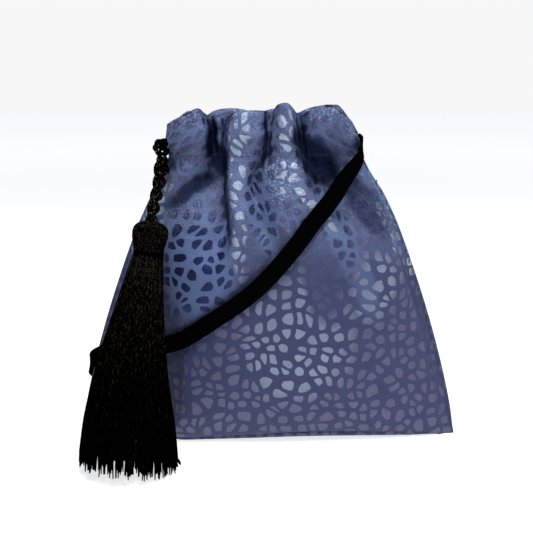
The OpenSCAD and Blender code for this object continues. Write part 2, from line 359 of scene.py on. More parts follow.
class Fold:
    """One ridge or valley pressed into the cloth, along a path listed from its top down.
    Each point is x, z, its height (a valley's is negative), and its widths to the west and east."""

    def __init__(self, points, sharp=2.0):
        self.points = np.asarray(points, float)
        self.sharp = sharp

    def press(self, x, z):
        p = route_points(self.points[:, [0, 1, 1, 2, 3, 4]], 60)
        px, pz, height, west, east = p[:, 0], p[:, 1], p[:, 3], p[:, 4], p[:, 5]
        near = (x[..., None] - px)**2 + (z[..., None] - pz)**2
        i = near.argmin(-1)
        distance = np.sqrt(near.min(-1))
        dx, dz = np.gradient(px), np.gradient(pz)
        side = dx[i] * (z - pz[i]) - dz[i] * (x - px[i])
        width = np.where(side > 0, east[i], west[i])
        return height[i] * np.exp(-(distance / width)**self.sharp)


class Side:
    """The shape of one panel: how it is gathered at its neck, and the folds below."""

    def __init__(self, sign, lip, neck, tops, lean, belly, guides, folds, fade, lift):
        self.sign = sign          # -1 for the front, 1 for the back
        self.lip = np.array(lip, float)
        self.neck = np.array(neck, float)
        self.tops = np.array(tops, float)
        self.guides = guides      # heights, and where each fold line runs at those heights
        self.folds = folds
        self.fade = np.array(fade, float)    # x at the neck, and how far down its gathers reach
        self.lean = np.array(lean, float)    # x at mid lip, and how far each place leans by its top
        self.belly = np.array(belly, float)  # x at mid lip, and how high up it is fullest there
        self.lift = lift          # x of its middle, height and width of the arch at the base

    def outline(self, x, z):
        width = np.where(x < 0, half_width(z, -1), half_width(z, 1))
        return np.clip(x / width, -1, 1)

    def plain_depth(self, x, z):
        u = np.abs(self.outline(x, z))
        f = np.clip(z / NECK_Z, 0, 1)
        return through(levels, level_depth, z) * (1 - u**(2 + 2 * f * f)) ** 0.8

    def behind_ribbon(self, x, z, d):
        """The same depth, but kept a little behind the wrist ribbon where it lies on the cloth."""
        route = route_points(LOOP_FRONT if self.sign < 0 else LOOP_BACK[::-1], 60)
        limit = np.full_like(d, 99.0)
        for lifted in LOOP_LIFTS:
            rx, rz = route[:, 0] - LOOP_PIVOT[0], route[:, 2] - LOOP_PIVOT[1]
            px = LOOP_PIVOT[0] + rx * math.cos(lifted) + rz * math.sin(lifted)
            pz = LOOP_PIVOT[1] - rx * math.sin(lifted) + rz * math.cos(lifted)
            near = (x[..., None] - px)**2 + (z[..., None] - pz)**2
            i = near.argmin(-1)
            beyond = np.maximum(np.sqrt(near.min(-1)) - RIBBON_WIDTH / MM / 2 - 1, 0)
            limit = np.minimum(limit, np.abs(route[i, 1]) - RIBBON_GAP + GAP_SLOPE * beyond)
        return d - np.logaddexp((d - limit) * GAP_SOFTNESS, 0) / GAP_SOFTNESS

    def depth(self, x, z):
        """Distance of the cloth in front of the middle plane, for the body below the casing."""
        heights, lines = self.guides
        here = np.stack([through(heights[::-1], line[::-1], z) for line in lines], -1)
        ends = np.stack([-half_width(z, -1), half_width(z, 1)], -1)
        top = np.array([-half_width(NECK_Z, -1), *[line[0] for line in lines],
                        half_width(NECK_Z, 1)])
        x_neck = np.empty_like(x)
        for row in range(x.shape[0]):
            marks = np.concatenate([ends[row, 0, :1], here[row, 0], ends[row, 0, 1:]])
            x_neck[row] = np.interp(x[row], marks, top)
        gathered = follow(self.neck, x_neck)
        plain = self.plain_depth(x, z)
        plain_neck = self.plain_depth(x_neck, np.full_like(z, NECK_Z))
        low = follow(self.fade, x_neck)
        d = plain + (gathered - plain_neck) * smoothstep((z - low) / (NECK_Z - low), 0, 1)
        for fold in self.folds:
            d = d + fold.press(x, z) * (1 - smoothstep(z, STITCH_Z - 4, STITCH_Z + 2))
        d = self.behind_ribbon(x, z, d)
        u = np.abs(self.outline(x, z))
        floor = EDGE_DEPTH + 3.4 * (1 - smoothstep(u, 0.55, 0.95)) * smoothstep(z, 0, 20)
        d = EDGE_DEPTH + (d - EDGE_DEPTH) * (1 - smoothstep(u, 0.90, 1.0)**2)
        return floor + np.logaddexp((d - floor) * 1.2, 0) / 1.2 * np.clip((1 - u) * 12, 0, 1)


def smooth_rows(values, reach):
    """Values averaged over neighbouring rows."""
    window = np.exp(-0.5 * (np.arange(-3 * reach, 3 * reach + 1) / reach) ** 2)
    window /= window.sum()
    padded = np.concatenate([values[:1]] * (3 * reach) + [values] + [values[-1:]] * (3 * reach))
    return np.stack([(padded[i:i + len(window)] * window[:, None]).sum(0)
                     for i in range(len(values))])


def soft_noise(x, z, size, seed):
    """Smooth random bumps between -1 and 1, of a size in the units of x and z."""
    rng = np.random.default_rng(seed)
    grid = rng.uniform(-1, 1, (64, 64))
    gx, gz = (x / size) % 64, (z / size) % 64
    i, j = gx.astype(int), gz.astype(int)
    tx, tz = gx - i, gz - j
    tx, tz = tx * tx * (3 - 2 * tx), tz * tz * (3 - 2 * tz)
    a, b = grid[i % 64, j % 64], grid[(i + 1) % 64, j % 64]
    c, d = grid[i % 64, (j + 1) % 64], grid[(i + 1) % 64, (j + 1) % 64]
    return (a * (1 - tx) + b * tx) * (1 - tz) + (c * (1 - tx) + d * tx) * tz


COLUMNS = 260
BODY_ROWS = 170
WALL_ROWS, ROLL_ROWS, UNDER_ROWS = 22, 12, 9
DENSE = 900


def cloth_grid(side):
    """Points of one panel in millimetres: from its bottom seam, up its face, over the casing's top
    and down inside it to the stitches."""
    lift_x, lift_h, lift_w = side.lift
    # body: dense rows, then columns evenly spaced along the cloth
    z_rows = np.linspace(0, STITCH_Z, BODY_ROWS)
    share = np.linspace(0, 1, DENSE)
    left, right = -half_width(z_rows, -1), half_width(z_rows, 1)
    x = left[:, None] + (right - left)[:, None] * share
    z = np.repeat(z_rows[:, None], DENSE, 1)
    d = side.depth(x, z)
    run = np.concatenate([np.zeros((BODY_ROWS, 1)),
                          np.cumsum(np.hypot(np.diff(x, axis=1), np.diff(d, axis=1)), 1)], 1)
    even = np.linspace(0, 1, COLUMNS)
    at = np.stack([np.interp(even, r / r[-1], share) for r in run])
    at = smooth_rows(at, 3)
    bx = np.stack([np.interp(a, share, row) for a, row in zip(at, x)])
    bd = np.stack([np.interp(a, share, row) for a, row in zip(at, d)])
    bz = np.repeat(z_rows[:, None], COLUMNS, 1)
    arch = lift_h * np.exp(-((bx - lift_x) / lift_w) ** 2)
    bz = bz + arch * np.clip(1 - bz / 30, 0, 1) ** 2
    # the lip's own plan, evenly spaced along it
    lip_left, lip_right = side.lip[0, 0], side.lip[-1, 0]
    lx = np.linspace(lip_left, lip_right, DENSE)
    ld = follow(side.lip, lx)
    lrun = np.concatenate([[0], np.cumsum(np.hypot(np.diff(lx), np.diff(ld)))])
    x_neck, d_neck = bx[-1], bd[-1]
    x_lip = 0.5 * np.interp(even, lrun / lrun[-1], lx) + 0.5 * (
        lip_left + (x_neck - x_neck[0]) / np.ptp(x_neck) * (lip_right - lip_left))
    d_lip = follow(side.lip, x_lip)
    top = follow(side.tops, x_lip)
    lean = follow(side.lean, x_lip)
    full = np.clip((d_lip - 4.5) / 12, 0, 1)
    roll = 0.9 + 1.5 * full
    half = 1.1 + 2.9 * full
    rise = np.linspace(0, 1, WALL_ROWS)[1:, None]
    swell = smoothstep(rise, -0.12, follow(side.belly, x_lip)[None])
    swell = (swell - swell[0]) / (1 - swell[0])
    tuck = smoothstep(rise, 0.45, 1.05)
    crumple = 0.5 * full * (1 - (2 * rise - 1) ** 4)
    wz = STITCH_Z + (top - roll - STITCH_Z) * rise
    wx = x_neck + (x_lip - x_neck) * smoothstep(rise, 0, 0.5) + lean * rise**2
    wd = d_neck + (d_lip - d_neck) * swell - (half - roll) * tuck
    wd = wd + crumple * soft_noise(wx + 60, wz * 0.6, 3.1, 5 + side.sign)
    crown_d = wd[-1]
    turn = np.linspace(0, np.pi, ROLL_ROWS + 1)[1:, None]
    roll_x = np.repeat((x_lip + lean)[None], ROLL_ROWS, 0)
    fall = np.linspace(0, 1, WALL_ROWS // 2)[1:, None]
    inner_foot = np.minimum(d_neck - 1.2, np.maximum(d_neck * 0.8, 2.6))
    inner_top = crown_d - 2 * roll
    inner_bulge = -(half - roll) * 0.8 * np.sin(np.pi * np.clip(fall / 0.9, 0, 1))
    inner_d = inner_top + inner_bulge + (inner_foot - inner_top) * smoothstep(fall, 0.3, 1)
    rows = [
        (bx, bd, bz),
        (wx, wd, wz),
        (roll_x, crown_d - roll * (1 - np.cos(turn)), top - roll + roll * np.sin(turn)),
        (x_lip + lean * (1 - fall) ** 2 + (x_neck - x_lip) * smoothstep(fall, 0.5, 1),
         np.maximum(inner_d, 2.4), top - roll + (STITCH_Z + 0.8 - top + roll) * fall),
    ]
    # the underside, from the seam forward to the face
    under = np.linspace(0, 1, UNDER_ROWS + 1)[:-1, None]
    foot_x, foot_d, foot_z = bx[0], bd[0], bz[0]
    ux = np.repeat(foot_x[None], UNDER_ROWS, 0)
    ud = 0.3 + (foot_d - 0.3) * np.sin(np.pi / 2 * under)
    uz = 0.3 + (foot_z * 0.55 - 0.3) * np.sin(np.pi / 2 * under) ** 2
    soft = np.clip(1 - bz / 5, 0, 1) ** 2 * (bd > 3)
    rows[0] = (bx, bd - 1.6 * soft * np.clip((bd - 3) / 8, 0, 1), bz)
    rows.insert(0, (ux, ud * np.where(foot_d > 3, 1 - 1.6 / np.maximum(foot_d, 3.2), 1), uz))
    gx, gd, gz = (np.concatenate([r[k] for r in rows]) for k in range(3))
    return gx, gd, np.maximum(gz, LOWEST)


def cloth_piece(name, side):
    gx, gd, gz = cloth_grid(side)
    points = np.stack([gx, side.sign * gd, gz], -1)
    along = np.linalg.norm(np.diff(points, axis=1), axis=2)
    u = np.concatenate([np.zeros((len(gx), 1)), np.cumsum(along, 1)], 1)
    u = smooth_rows(u - u[:, -1:] / 2, 4)
    up = np.linalg.norm(np.diff(points, axis=0), axis=2).mean(1)
    v = np.concatenate([[0], np.cumsum(up)])[:, None] + np.zeros_like(u)
    uv = np.stack([u, v], -1).reshape(-1, 2)
    faces = grid_faces(*gx.shape)
    if side.sign > 0:
        faces = faces[:, ::-1]
    piece = make_mesh(name, points.reshape(-1, 3) * MM, faces, uv * 0.1)
    thicken(piece, CLOTH_THICK)
    flat = (float(along.sum(1).max()) * MM, float(up.sum()) * MM)
    return piece, flat, (gx, gd, gz)


FRONT = Side(
    sign=-1,
    lip=[[-50.2, 9], [-48.6, 12.5], [-46, 15], [-42, 16.6], [-37, 17.2], [-32, 16.8], [-29.2, 14.8],
         [-27.7, 8.6], [-26.9, 4.6], [-25.8, 5], [-24.4, 9.6], [-23, 9.4], [-21.9, 5], [-21, 5.2],
         [-20.3, 11.5], [-19, 15.8], [-14, 17], [-8, 16.8], [-3.5, 15], [-1, 11], [0.4, 10.4],
         [2, 13.6], [5, 16.6], [9, 17.4], [12.6, 15.6], [14.8, 10.5], [15.9, 5.6], [17, 5.4],
         [18.6, 9.5], [21, 13.6], [26, 16], [32, 17], [37, 16.6], [40, 15], [42.6, 12.4],
         [44.6, 9], [46.2, 5.6]],
    neck=[[-49.5, 0.6], [-47, 6], [-43, 9.8], [-38, 11.5], [-34, 11], [-30, 7.8], [-27, 4.4],
          [-24, 5.2], [-21.8, 5], [-20.7, 9], [-19.2, 13.2], [-14, 15.4], [-8, 15], [-4.5, 12.4],
          [-2.6, 9.8], [-0.8, 11.2], [3, 14.6], [8, 16], [12.4, 14.6], [15, 9.4], [17, 5.4],
          [20, 6.6], [26, 7.8], [32, 8.6], [37, 8.6], [42, 7.4], [45, 4.6], [47.1, 0.6]],
    tops=[[-50.2, 162.3], [-47, 164.3], [-44, 165.8], [-41, 167.2], [-38, 168.6], [-34, 169.8],
          [-30, 169.9], [-27, 166.4], [-24, 165.6], [-21.5, 165.4], [-19, 167.4], [-15, 168.7],
          [-9, 169.2], [-3, 169], [0.4, 168], [3, 171.6], [7, 172.8], [10, 172.6], [13, 170.5],
          [16, 167.4], [19, 168.2], [23, 169.8], [28, 170.8], [32, 170.8], [36, 168.6], [40, 166],
          [43, 163], [46, 158.5]],
    guides=([147, 135, 124, 113, 102, 90, 75, 50, 0],
            [[-20.5, -20, -18.5, -17.5, -20.5, -26, -33, -40, -44],
             [-2.6, -7.4, -6, -3, 3.5, 9, 14, 16, 16],
             [17, 24.5, 30.5, 37, 42, 46, 50, 54, 58]]),
    folds=[
        # the hollow that runs from the first valley out to the left side
        Fold([[-27, 146, 0, 4, 6], [-28, 140, -2, 6, 5], [-31.5, 132.5, -4, 8, 7],
              [-38, 127, -4.4, 8, 8], [-46, 123, -3.4, 8, 8], [-56, 119, -1, 7, 8]]),
        # the cloth swells under the first lobe, and again below the hollow
        Fold([[-37, 145, 0.6, 5, 5], [-41.5, 138.5, 3, 6, 6], [-46.5, 131, 3, 6, 6],
              [-53, 126, 0.5, 6, 6]]),
        Fold([[-33, 108, 0, 12, 10], [-37, 98, 1.6, 15, 12], [-42, 86, 2.6, 16, 14],
              [-46, 72, 2.0, 15, 14], [-50, 58, 0, 14, 14]]),
        # the long crisp ridge beside the hollow, and the valley that it overhangs
        Fold([[-20.8, 149, 0.6, 0.9, 9], [-20.2, 136, 2.2, 0.9, 9], [-18.8, 124, 3.0, 1.0, 10],
              [-17.9, 113, 3.0, 1.4, 11], [-20.5, 102, 2.6, 3.5, 12], [-26, 90, 1.8, 6, 13],
              [-33.5, 75, 0.8, 8, 14], [-41, 62, 0, 9, 14]], sharp=1.5),
        Fold([[-23.6, 147, -1, 4, 2], [-22.8, 135, -3.6, 6, 2.2], [-21.6, 122, -5, 7, 2.3],
              [-21.2, 112, -4.4, 7, 2.8], [-24.6, 102, -2.4, 7, 4], [-30, 92, 0, 8, 5]]),
        # the shallow crease between the two middle lobes
        Fold([[-3, 147, -0.5, 3, 3], [-7, 138.5, -2, 3.4, 4], [-8, 131, -2.6, 3.5, 4.5],
              [-6, 123, -2.2, 4, 5], [-3, 113, -1.8, 4, 5], [2.5, 104.5, -1.2, 5, 5],
              [9, 93, 0, 5, 5]]),
        Fold([[4, 146, 0.2, 5, 5], [3, 136, 1, 6, 6], [6, 124, 1.4, 7, 8], [12, 112, 1, 8, 9],
              [18, 98, 0, 9, 9]]),
        # the edge that runs down from under the third lobe, and the hollow beside it
        Fold([[8, 149, 0.2, 8, 1.3], [12, 145.5, 1, 9, 1.3], [18, 140.6, 2.2, 10, 1.3],
              [22.6, 136.2, 2.8, 11, 1.4], [26.6, 130.4, 3, 11, 1.6], [31, 121, 3, 11, 2.2],
              [36.8, 109.4, 2.6, 12, 3.5], [42.4, 98, 1.8, 13, 6], [46, 82, 0.8, 13, 8],
              [48, 66, 0, 13, 9]], sharp=1.5),
        Fold([[20, 149, -2, 2.4, 12], [24.5, 142, -3.6, 2.6, 11], [30, 134, -4.6, 3, 10],
              [35, 126, -4.6, 3.6, 10], [42, 114, -3, 6, 10], [50, 102, -1.6, 8, 10],
              [56, 90, 0, 8, 10]]),
        # small pleats in the hollow under the fourth lobe
        Fold([[23.5, 148, 1, 1.6, 1.6], [26, 139, 1.2, 2, 2], [30, 132, 0, 2, 2]]),
        Fold([[31, 149, 1.2, 1.6, 1.6], [34, 139, 1.4, 2, 2.4], [40, 129, 0, 2.4, 2.4]]),
        Fold([[38.5, 149, 1.2, 1.8, 1.8], [43, 138, 1.6, 2.4, 2.4], [49, 127, 0, 3, 3]]),
        # the shoulder at the right of the ribbon
        Fold([[50, 132, 0, 5, 4], [55, 122, 1.4, 6, 5], [60, 110, 1.8, 8, 6], [64, 96, 1.2, 9, 7],
              [68, 80, 0, 9, 8]]),
        # the cloth gives where the ribbon bears on it
        Fold([[22, 119, 0, 4, 5], [12, 105, -1, 4, 6], [-2, 91, -1.2, 4, 6],
              [-16, 78.5, -1.5, 4, 6], [-30, 69, -1.6, 4, 6], [-44, 59, -1.2, 4, 6],
              [-60, 52, 0, 4, 6]]),
        # the base falls away behind the tassel
        Fold([[-38, 56, 0, 5, 12], [-42, 42, 1.6, 4, 13], [-44, 26, 2.2, 3, 14],
              [-45, 10, 2, 3, 14], [-45, -4, 1.4, 3, 14]], sharp=1.7),
        Fold([[-52, 44, 0, 6, 3], [-53, 28, -2.4, 8, 4], [-54, 8, -2.4, 8, 4],
              [-54, -4, -1.6, 8, 4]]),
    ],
    fade=[[-50, 116], [-34, 112], [-26, 108], [-20, 92], [-3, 90], [14, 84], [22, 96], [47, 100]],
    lean=[[-50, 1], [-38, 0], [-29, -3], [-25, -1], [-20, 0.5], [-8, 0], [-1, 1.4], [5, 1],
          [14, -1.5], [17, -1.5], [26, 0], [36, -1], [46, -2.4]],
    belly=[[-50, 0.6], [-42, 0.75], [-32, 0.75], [-26, 0.55], [-18, 0.6], [-4, 0.6], [4, 0.52],
           [12, 0.6], [16, 0.8], [20, 0.98], [30, 1.02], [40, 0.98], [46, 0.8]],
    lift=(26, 4.4, 50),
)

BACK = Side(
    sign=1,
    lip=[[-50.2, 9], [-48.4, 12.6], [-45, 15.8], [-40, 17], [-35.5, 15.4], [-33, 10.5], [-31.6, 6],
         [-30, 6.4], [-28, 12], [-25, 16], [-20, 17.2], [-14, 16.6], [-10.5, 13], [-9, 7.4],
         [-7.8, 5.4], [-6.4, 8], [-4, 13.4], [1, 16.4], [7, 17], [12, 15.4], [14.6, 11], [16, 9.6],
         [18, 12.4], [21, 16], [25, 16.8], [28.6, 14], [30.2, 8], [31.4, 5.4], [33, 8],
         [35.5, 13.6],
         [38.6, 16], [41.6, 13], [44, 8.6], [46, 5.2]],
    neck=[[-49.5, 0.6], [-46, 8], [-41, 12.2], [-36, 11], [-33, 7.6], [-31, 5.4], [-28, 8.4],
          [-24, 13], [-19, 14.8], [-14, 14], [-10.5, 9.6], [-8, 5.4], [-5.5, 9], [0, 13.8],
          [7, 15], [12, 13.4], [16, 8.8], [20, 12.6], [25, 14], [29, 9.6], [31.4, 5.4],
          [34, 9], [39, 11.6], [44, 7], [47.1, 0.6]],
    tops=[[-50.2, 161.5], [-45, 165], [-40, 167.6], [-35, 166.8], [-31, 164.6], [-26, 167.8],
          [-19, 169], [-12, 168], [-8, 165.6], [-2, 168], [6, 169], [13, 168.2], [16, 167],
          [21, 169], [27, 170.6], [32, 171.2], [35, 170.4], [40, 166], [46, 159]],
    guides=([147, 130, 112, 94, 75, 50, 0],
            [[-31, -36, -42, -48, -54, -60, -64],
             [-8, -11, -12, -10, -8, -6, -4],
             [16, 19, 24, 29, 33, 36, 38],
             [31.4, 38, 47, 55, 60, 64, 66]]),
    folds=[
        Fold([[-31, 147, -1, 4, 4], [-35, 133, -3.6, 4, 6], [-41, 116, -3.4, 6, 8],
              [-47, 98, -2, 8, 9], [-52, 80, 0, 9, 9]]),
        Fold([[-22, 146, 1, 6, 6], [-25, 130, 3, 8, 7], [-28, 112, 3, 10, 9],
              [-32, 92, 1.6, 12, 11], [-35, 70, 0, 12, 12]]),
        Fold([[-8, 147, -1, 2.4, 4], [-11.4, 134, -4.6, 2.4, 6], [-12.6, 118, -4.6, 3, 7],
              [-11, 100, -2.6, 5, 8], [-7, 80, 0, 8, 9]]),
        Fold([[3, 146, 1, 7, 7], [3.5, 130, 2.4, 8, 8], [4, 110, 2, 10, 10], [6, 88, 0, 12, 12]]),
        Fold([[16, 147, -1.4, 3, 3], [18.6, 134, -3.8, 4, 4], [23, 118, -3, 5, 6],
              [28, 100, -1.4, 7, 7], [33, 84, 0, 8, 8]]),
        Fold([[31.4, 147, -1, 3, 2.4], [37, 134, -4.4, 5, 2.4], [43.6, 119, -4, 7, 3],
              [50, 103, -2.2, 8, 5], [55, 88, 0, 8, 6]]),
        Fold([[24, 145, 1, 4, 4], [28, 131, 2.4, 6, 5], [34, 114, 2.2, 8, 6], [40, 96, 0, 9, 8]]),
        Fold([[-62, 70, 0, 9, 10], [-50, 48, 1.6, 9, 12], [-30, 30, 1.2, 10, 14],
              [-10, 20, 0, 10, 14]]),
        Fold([[-22, 119, 0, 5, 4], [-2, 91, -0.8, 6, 4], [16, 78.5, -1.2, 6, 4], [44, 59, -1, 6, 4],
              [60, 52, 0, 6, 4]]),
    ],
    fade=[[-50, 108], [-31, 92], [-20, 100], [-8, 84], [16, 94], [31, 88], [47, 106]],
    lean=[[-50, 1.4], [-31, -1.6], [-19, 0], [-8, 1.6], [6, 0], [16, -1.4], [31, 1], [46, -2]],
    belly=[[-50, 0.7], [-30, 0.55], [-19, 0.75], [-8, 0.55], [6, 0.7], [16, 0.5], [26, 0.7],
           [46, 0.7]],
    lift=(-10, 1.6, 60),
)

front_cloth, front_flat, front_grid = cloth_piece("front_cloth", FRONT)
back_cloth, back_flat, back_grid = cloth_piece("back_cloth", BACK)


def lining_piece(name, side, grid):
    """The lining, a little inside the cloth, up to the stitches of the casing."""
    gx, gd, gz = (g[UNDER_ROWS + 4:UNDER_ROWS + BODY_ROWS:3, ::3] for g in grid)
    depth = np.maximum(smooth_rows(gd, 1) - LINING_INSET, 0.3)
    points = np.stack([gx * LINING_SHARE, side.sign * depth, np.maximum(gz, 1.2)], -1)
    faces = grid_faces(*gx.shape)
    if side.sign < 0:
        faces = faces[:, ::-1]
    uv = np.stack([points[..., 0], points[..., 2]], -1).reshape(-1, 2) * 0.1
    piece = make_mesh(name, points.reshape(-1, 3) * MM, faces, uv)
    thicken(piece, LINING_THICK)
    return piece


front_lining = lining_piece("front_lining_cloth", FRONT, front_grid)
back_lining = lining_piece("back_lining_cloth", BACK, back_grid)

# ---------------------------------------------------------------- stitches

STITCH_LENGTH, STITCH_PITCH, FIRST_STITCH, THREAD_RADIUS = 1.9, 2.9, 1.5, 0.16


def stitched(line, outward):
    """Short raised stitches along a line of points, in millimetres."""
    run = run_along(line)
    parts = []
    for start in np.arange(FIRST_STITCH, run[-1] - STITCH_LENGTH - 0.5, STITCH_PITCH):
        at = np.linspace(start, start + STITCH_LENGTH, 7)
        centre = np.stack([np.interp(at, run, line[:, k]) for k in range(3)], 1)
        out = np.stack([np.interp(at, run, outward[:, k]) for k in range(3)], 1)
        rise = np.sin(np.linspace(0, np.pi, 7))
        centre = centre + out * (0.08 + 0.24 * rise)[:, None]
        parts.append(tube(centre * MM, THREAD_RADIUS * MM * (0.55 + 0.45 * rise ** 0.5), 6))
    return join_parts(parts)


def casing_stitches(name, side, grid):
    row = UNDER_ROWS + BODY_ROWS
    gx, gd, gz = grid
    line = np.stack([gx[row], side.sign * gd[row], gz[row]], 1)[2:-2]
    line = line[line[:, 0] < STITCHED_SHARE * line[:, 0].max()]
    slope = tangents(line)
    outward = unit(np.stack([-slope[:, 1], slope[:, 0], 0 * slope[:, 0]], 1)) * side.sign
    points, faces = stitched(line, outward)
    return make_mesh(name, points, faces)


front_stitches = casing_stitches("front_casing_thread", FRONT, front_grid)
back_stitches = casing_stitches("back_casing_thread", BACK, back_grid)


def bartack(name, side_x):
    """A bar of close zigzag stitches across the top of a side seam."""
    z0 = NECK_Z - 6
    edge = side_x * (half_width(z0, side_x) - 0.6)
    lean_out = side_x * (half_width(z0, side_x) - half_width(NECK_Z, side_x)) / 6
    steps = 40
    t = np.linspace(0, 1, steps * 4)
    z = z0 + 4.2 * t
    wave = np.sin(2 * np.pi * steps / 4 * t)
    centre = np.stack([edge - lean_out * 4.2 * t + side_x * 0.45 * (1 - wave**2),
                       0.75 * wave, z], 1)
    points, faces = tube(centre * MM, 0.2 * MM, 6)
    return make_mesh(name, points, faces)


right_tack = bartack("right_bartack_thread", 1)
left_tack = bartack("left_bartack_thread", -1)

# ---------------------------------------------------------------- drawstring

RUN_Z = 155.6
RUN_WIDTH = 7.4 * MM


def ribbon_run(name, side, grid):
    """The ribbon inside a casing, which follows the gathers."""
    gx, gd, gz = grid
    start = UNDER_ROWS + BODY_ROWS
    wall = slice(start, start + WALL_ROWS - 1)
    inner = slice(start + WALL_ROWS - 1 + ROLL_ROWS, None)
    route = []
    for c in range(4, COLUMNS - 4):
        outer_d = np.interp(RUN_Z, gz[wall, c], gd[wall, c])
        inner_d = np.interp(RUN_Z, gz[inner, c][::-1], gd[inner, c][::-1])
        x = np.interp(RUN_Z, gz[wall, c], gx[wall, c])
        route.append([x, inner_d, outer_d])
    route = np.array(route)
    keep = np.concatenate([[True], np.diff(np.maximum.accumulate(route[:, 0])) > 0.12])
    x, inner_d, outer_d = route[keep].T
    middle = np.convolve(np.pad((inner_d + outer_d) / 2, 3, "edge"), np.ones(7) / 7, "valid")
    middle = np.clip(middle, np.minimum(inner_d, outer_d) + 0.5, np.maximum(outer_d - 0.7, inner_d))
    route = np.stack([x, side.sign * middle, 0 * x + RUN_Z], 1)
    slope = tangents(route)
    facing = np.degrees(np.unwrap(np.arctan2(-slope[:, 0], slope[:, 1])))
    return ribbon_mesh(name, np.column_stack([route, facing]), RUN_WIDTH, 0.4 * MM, cup=0)[0]


front_run = ribbon_run("front_drawstring", FRONT, front_grid)
back_run = ribbon_run("back_drawstring", BACK, back_grid)

# the ribbon's ends, from the casings to the start of the wrist loop
EXIT_ROUTE = [
    [35, -8.6, 155.4, -90], [38.5, -7.6, 155.2, -76], [41.5, -6.2, 154.6, -58],
    [44, -4.4, 153.6, -30], [45.2, -3.2, 153, -12], [45.5, -2.1, 152.8, -4],
]
BACK_EXIT_ROUTE = [[x, -y, z, -a] for x, y, z, a in EXIT_ROUTE]
EXIT_WIDTH = 8 * MM
front_exit = ribbon_mesh("front_ribbon_end", EXIT_ROUTE, EXIT_WIDTH, RIBBON_THICK)[0]
back_exit = ribbon_mesh("back_ribbon_end", BACK_EXIT_ROUTE, EXIT_WIDTH, RIBBON_THICK)[0]

BRIDGE_ROUTE = [
    [-45.5, -10.2, 155.3], [-48.6, -10, 154.6], [-50.8, -8.8, 153], [-52, -7, 151.5],
    [-52.3, -5, 151], [-52.3, -2, 150.8], [-52.3, 2, 150.8], [-52.3, 5, 151], [-52, 7, 151.5],
    [-50.8, 8.8, 153], [-48.6, 10, 154.6], [-45.5, 10.2, 155.3],
]
bridge_path = route_points(BRIDGE_ROUTE, 90) * MM
BRIDGE_RADIUS = 1.95 * MM


def bunched(angle, i):
    """The section of a ribbon drawn up into a roll: a few deep, uneven folds."""
    turn = angle + i * 0.035
    return 0.92 + 0.05 * np.cos(5 * turn) + 0.03 * np.cos(8 * turn + 1.3)


points, faces = tube(bridge_path, BRIDGE_RADIUS, 40, bunched)
bridge = make_mesh("bunched_ribbon", points, faces)

# ---------------------------------------------------------------- tassel

spin = next(j for j in frame["joints"] if j["name"] == "tassel_spin")
HEAD_TOP = np.array(spin["pos_m"])
AXIS = unit(spin["axis"])
ASIDE = unit(np.cross(AXIS, [0, 1, 0]))
AHEAD = np.cross(AXIS, ASIDE)
HEAD_LENGTH, BINDING_END = 13 * MM, 18 * MM
# distance down the axis and the skirt's radius there
SKIRT = np.array([[15, 6.6], [18, 7.2], [26, 8.3], [34.3, 9.4], [53.7, 12.2], [75.4, 15.8],
                  [96, 20], [114.3, 23.2], [126, 24.4]]) * MM
SKIRT_TOP = 15 * MM
STRAND_ENDS = 114.5, 119.5     # nearest and furthest that a strand ends down the axis, in mm
SKIRT_BOW = 2.6 * MM           # how far the strands hang to the left of the axis at mid-length
SKIRT_SPREAD = 0.12            # how much wider than deep they lie there
FLOOR_CLEAR = 0.5 * MM
YARN_RADIUS, HEAD_YARN_RADIUS, KNOT_YARN_RADIUS = 0.46 * MM, 0.56 * MM, 1.0 * MM
STRAND_RINGS = 20


def from_axis(s, radius, angle):
    """Points at distances s down the tassel's axis, and off it by a radius at an angle."""
    s, radius, angle = np.broadcast_arrays(s, radius, angle)
    return (HEAD_TOP + s[..., None] * AXIS + (radius * np.cos(angle))[..., None] * ASIDE
            + (radius * np.sin(angle))[..., None] * AHEAD)


def tube_uv(count, sides, length, turn=0.0):
    return np.stack([np.repeat(np.linspace(0, length, count), sides),
                     np.tile(np.arange(sides) / sides, count) + turn], 1)


def yarns(name, paths, radius, sides=6):
    parts, uv = [], []
    for k, path in enumerate(paths):
        taper = np.ones(len(path))
        taper[-1] = 0.6
        parts.append(tube(path, radius * taper, sides))
        uv.append(tube_uv(len(path), sides, length_of(path) * 100, k * 0.37))
    points, faces = join_parts(parts)
    return make_mesh(name, points, faces, np.concatenate(uv))


